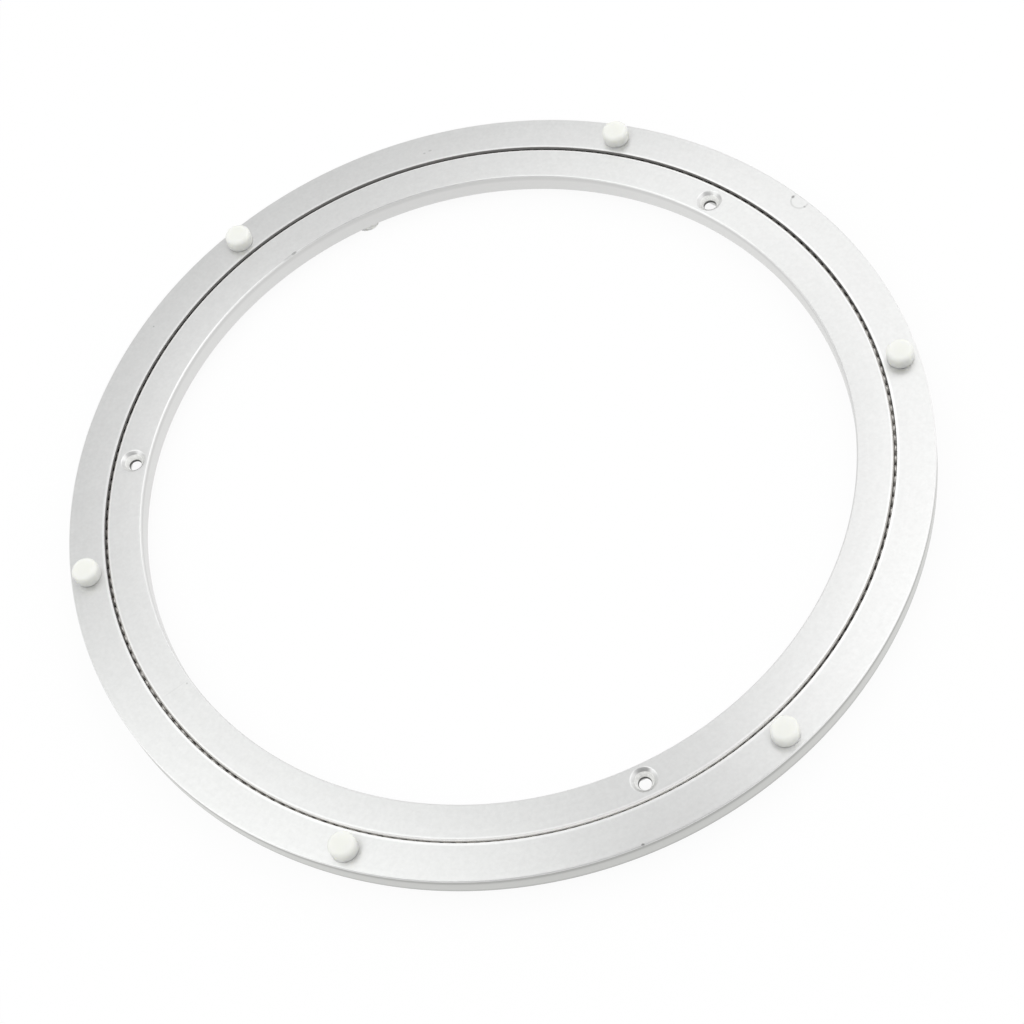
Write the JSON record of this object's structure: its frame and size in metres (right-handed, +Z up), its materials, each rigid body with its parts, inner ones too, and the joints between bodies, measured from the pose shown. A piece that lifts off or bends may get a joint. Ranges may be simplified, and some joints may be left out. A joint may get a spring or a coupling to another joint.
{
  "type": "lazy susan bearing",
  "caption": "Flat ring-shaped turntable bearing: an inner aluminium ring that is screwed down and an outer ring with rubber pads that turns around it on a row of balls.",
  "frame": {"origin": "on the axis of rotation, in the plane under the feet", "axes": "+Z up along the axis of rotation, towards the pads; +X through the first screw hole"},
  "size_m": [0.3, 0.3, 0.0168],
  "materials": {
    "ring_aluminium": "fine turned, satin",
    "ball_steel": "polished",
    "white_rubber": "moulded, matt"
  },
  "bodies": {
    "base": {"inner_ring": "ring_aluminium", "foot_1": "white_rubber", "foot_2": "white_rubber", "foot_3": "white_rubber"},
    "turntable": {"outer_ring": "ring_aluminium", "filler_plug": "ring_aluminium", "pad_1": "white_rubber", "pad_2": "white_rubber", "pad_3": "white_rubber", "pad_4": "white_rubber", "pad_5": "white_rubber", "pad_6": "white_rubber"},
    "ball_row": {"bearing_balls": "ball_steel"}
  },
  "joints": [
    {"name": "turntable_spin", "type": "hinge", "parent": "base", "child": "turntable", "pos_m": [0, 0, 0.0078], "axis": [0, 0, 1], "continuous": true},
    {"name": "ball_row_orbit", "type": "hinge", "parent": "base", "child": "ball_row", "pos_m": [0, 0, 0.0078], "axis": [0, 0, 1], "continuous": true}
  ],
  "couplings": [
    {"joint": "ball_row_orbit", "follows": "turntable_spin", "ratio": 0.50514}
  ]
}
